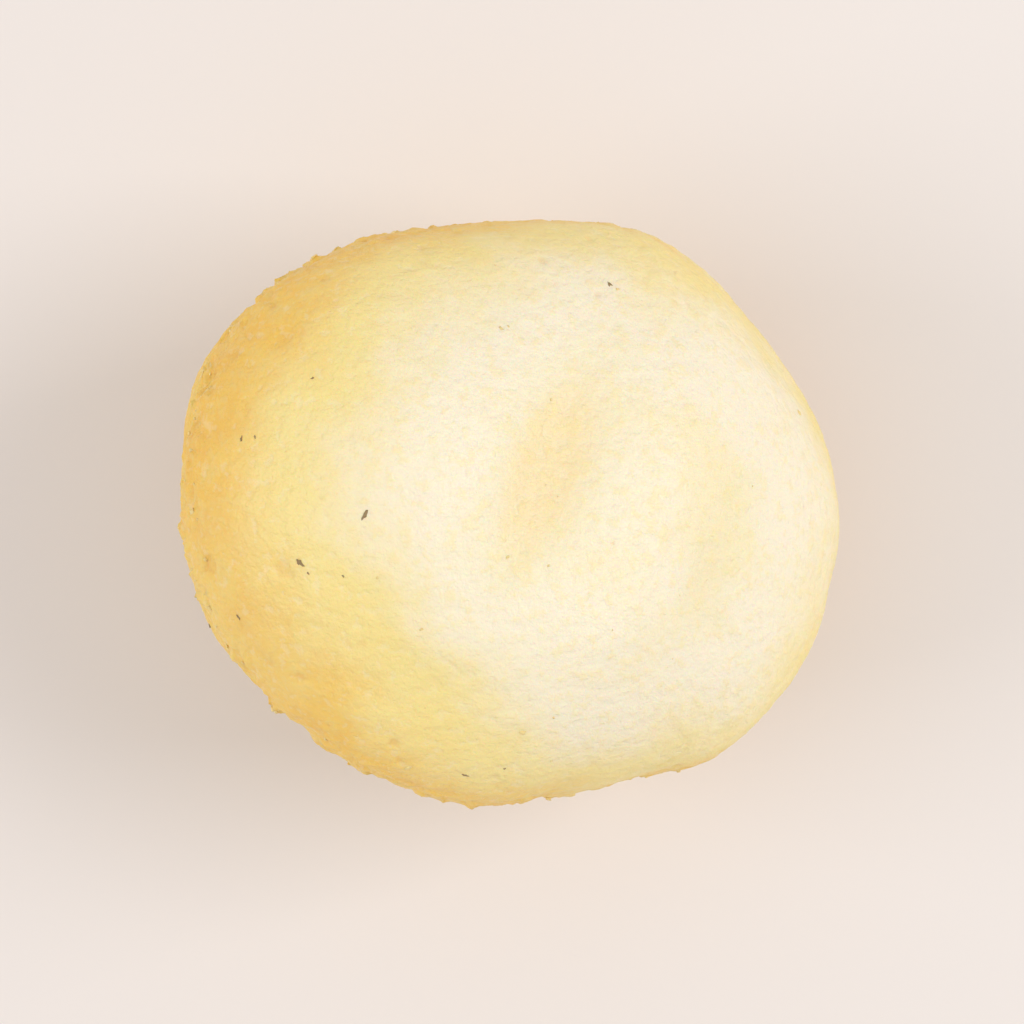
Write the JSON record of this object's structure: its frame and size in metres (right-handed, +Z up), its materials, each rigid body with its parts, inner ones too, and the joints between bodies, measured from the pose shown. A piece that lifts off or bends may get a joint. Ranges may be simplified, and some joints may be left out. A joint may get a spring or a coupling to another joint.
{
  "type": "shelled macadamia kernel",
  "caption": "Whole raw macadamia kernel out of its shell: a round cream seed with a smooth crown, a low chipped rim and a slightly narrower base, resting on a small flat spot.",
  "frame": {"origin": "bottom centre of the kernel's box, on the plane it rests on", "axes": "+Z up from the surface it lies on, +X along the longest way across, towards which the crown leans"},
  "size_m": [0.0218, 0.0192, 0.0178],
  "materials": {
    "kernel": "satin"
  },
  "bodies": {
    "root": {"kernel": "kernel"}
  },
  "joints": []
}
